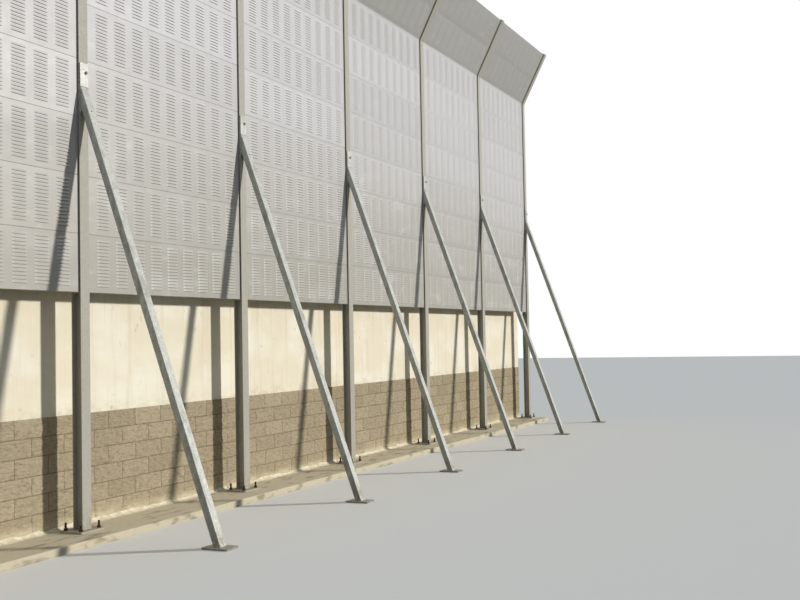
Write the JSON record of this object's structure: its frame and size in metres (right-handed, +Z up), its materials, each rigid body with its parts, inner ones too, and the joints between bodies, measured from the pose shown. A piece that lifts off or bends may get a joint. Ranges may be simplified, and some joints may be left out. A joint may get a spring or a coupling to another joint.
{
  "type": "noise barrier section",
  "caption": "Roadside noise barrier: H posts with a cranked crown, stacked louvred panels, raking braces on the road side and a rendered wall on a block plinth behind.",
  "frame": {"origin": "centre line of the middle post at ground level, on the underside of the concrete beam", "axes": "+X along the barrier, -Y towards the road (crown and braces), +Z up"},
  "size_m": [15.3, 1.9505, 7.0472],
  "materials": {
    "galvanised_steel": "hot-dip galvanised, dull and weathered",
    "brace_steel": "hot-dip galvanised, fresh spangle with a slight sheen",
    "panel_sheet": "powder-coated pale grey sheet with pressed louvres, matt",
    "render": "cream cement render with vertical rain streaks",
    "block": "rock-face concrete blocks with tooled joints, sandy beige",
    "concrete": "trowelled concrete, pale and dusty"
  },
  "bodies": {
    "root": {"footing_beam": "concrete", "block_plinth": "block", "rendered_wall": "render", "bend_closers": "panel_sheet", "base_plate_1": "galvanised_steel", "post_1": "galvanised_steel", "crown_arm_1": "galvanised_steel", "brace_1": "brace_steel", "base_plate_2": "galvanised_steel", "post_2": "galvanised_steel", "crown_arm_2": "galvanised_steel", "brace_2": "brace_steel", "base_plate_3": "galvanised_steel", "post_3": "galvanised_steel", "crown_arm_3": "galvanised_steel", "brace_3": "brace_steel", "base_plate_4": "galvanised_steel", "post_4": "galvanised_steel", "crown_arm_4": "galvanised_steel", "brace_4": "brace_steel", "base_plate_5": "galvanised_steel", "post_5": "galvanised_steel", "crown_arm_5": "galvanised_steel", "brace_5": "brace_steel", "base_plate_6": "galvanised_steel", "post_6": "galvanised_steel", "crown_arm_6": "galvanised_steel", "brace_6": "brace_steel", "base_plate_7": "galvanised_steel", "post_7": "galvanised_steel", "crown_arm_7": "galvanised_steel", "brace_7": "brace_steel", "bay_1_panels": "panel_sheet", "bay_1_crown_panels": "panel_sheet", "bay_2_panels": "panel_sheet", "bay_2_crown_panels": "panel_sheet", "bay_3_panels": "panel_sheet", "bay_3_crown_panels": "panel_sheet", "bay_4_panels": "panel_sheet", "bay_4_crown_panels": "panel_sheet", "bay_5_panels": "panel_sheet", "bay_5_crown_panels": "panel_sheet", "bay_6_panels": "panel_sheet", "bay_6_crown_panels": "panel_sheet"}
  },
  "joints": []
}
